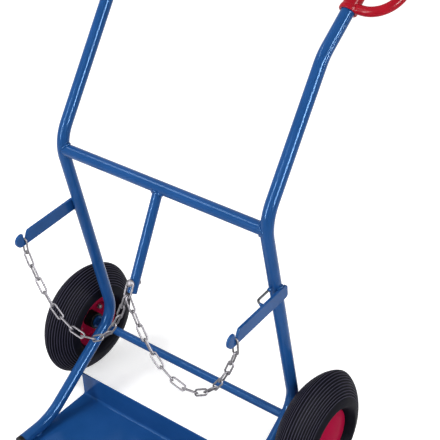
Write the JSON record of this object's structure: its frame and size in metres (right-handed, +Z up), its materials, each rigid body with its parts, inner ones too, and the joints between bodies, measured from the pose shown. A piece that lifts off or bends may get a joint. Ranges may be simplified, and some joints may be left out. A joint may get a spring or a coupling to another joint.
{
  "type": "gas cylinder cart",
  "caption": "Gas cylinder cart with a bent blue tube frame, toe plate, notched hook arms with a slack retaining chain, red grips with hand guards and air-filled wheels.",
  "frame": {"origin": "on the ground below the middle of the whole cart", "axes": "+X to the right for someone facing the toe plate, -Y to the front where the toe plate is, +Z up"},
  "size_m": [0.7648, 0.614, 1.1098],
  "materials": {
    "blue_paint": "semi-gloss",
    "red_paint": "gloss",
    "red_plastic": "satin",
    "black_tyre": "matt",
    "black_rubber": "matt",
    "black_plastic": "satin",
    "dark_rod": "satin",
    "bright_zinc": "bright plated",
    "turned_steel": "turned"
  },
  "bodies": {
    "frame": {"left_side_tube": "blue_paint", "right_side_tube": "blue_paint", "upper_crossbar": "blue_paint", "centre_strut": "blue_paint", "toe_plate": "blue_paint", "left_arm": "blue_paint", "right_arm": "blue_paint", "key_loop": "dark_rod", "axle": "blue_paint", "left_toe_cap": "black_plastic", "right_toe_cap": "black_plastic", "left_grip": "red_plastic", "right_grip": "red_plastic", "anchor_bolt": "bright_zinc", "anchor_nut": "bright_zinc", "anchor_link": "bright_zinc", "left_hook_link": "bright_zinc", "right_hook_link": "bright_zinc", "left_axle_clip": "turned_steel", "right_axle_clip": "turned_steel"},
    "left_wheel": {"left_tyre": "black_tyre", "left_inner_tube": "black_rubber", "left_rim_inner": "red_paint", "left_rim_outer": "red_paint", "left_hub": "black_plastic", "left_wheel_cover": "red_paint"},
    "right_wheel": {"right_tyre": "black_tyre", "right_inner_tube": "black_rubber", "right_rim_inner": "red_paint", "right_rim_outer": "red_paint", "right_hub": "black_plastic", "right_wheel_cover": "red_paint"},
    "left_chain": {"left_chain_link_01": "bright_zinc", "left_chain_link_02": "bright_zinc", "left_chain_link_03": "bright_zinc", "left_chain_link_04": "bright_zinc", "left_chain_link_05": "bright_zinc", "left_chain_link_06": "bright_zinc", "left_chain_link_07": "bright_zinc", "left_chain_link_08": "bright_zinc", "left_chain_link_09": "bright_zinc", "left_chain_link_10": "bright_zinc", "left_chain_link_11": "bright_zinc", "left_chain_link_12": "bright_zinc", "left_chain_link_13": "bright_zinc", "left_chain_link_14": "bright_zinc"},
    "right_chain": {"right_chain_link_01": "bright_zinc", "right_chain_link_02": "bright_zinc", "right_chain_link_03": "bright_zinc", "right_chain_link_04": "bright_zinc", "right_chain_link_05": "bright_zinc", "right_chain_link_06": "bright_zinc", "right_chain_link_07": "bright_zinc", "right_chain_link_08": "bright_zinc", "right_chain_link_09": "bright_zinc", "right_chain_link_10": "bright_zinc", "right_chain_link_11": "bright_zinc", "right_chain_link_12": "bright_zinc", "right_chain_link_13": "bright_zinc", "right_chain_link_14": "bright_zinc"}
  },
  "joints": [
    {"name": "left_wheel_turn", "type": "hinge", "parent": "frame", "child": "left_wheel", "pos_m": [-0.335, 0.01472, 0.1425], "axis": [1, 0, 0], "continuous": true},
    {"name": "right_wheel_turn", "type": "hinge", "parent": "frame", "child": "right_wheel", "pos_m": [0.335, 0.01472, 0.1425], "axis": [1, 0, 0], "continuous": true},
    {"name": "left_chain_swing", "type": "hinge", "parent": "frame", "child": "left_chain", "pos_m": [-0.14398, -0.18422, 0.4778], "axis": [-0.9994, -0.0302, -0.0139], "range_deg": [-15, 25]},
    {"name": "right_chain_swing", "type": "hinge", "parent": "frame", "child": "right_chain", "pos_m": [0.14398, -0.18422, 0.4778], "axis": [-0.9994, 0.0302, 0.0139], "range_deg": [-15, 25]}
  ]
}
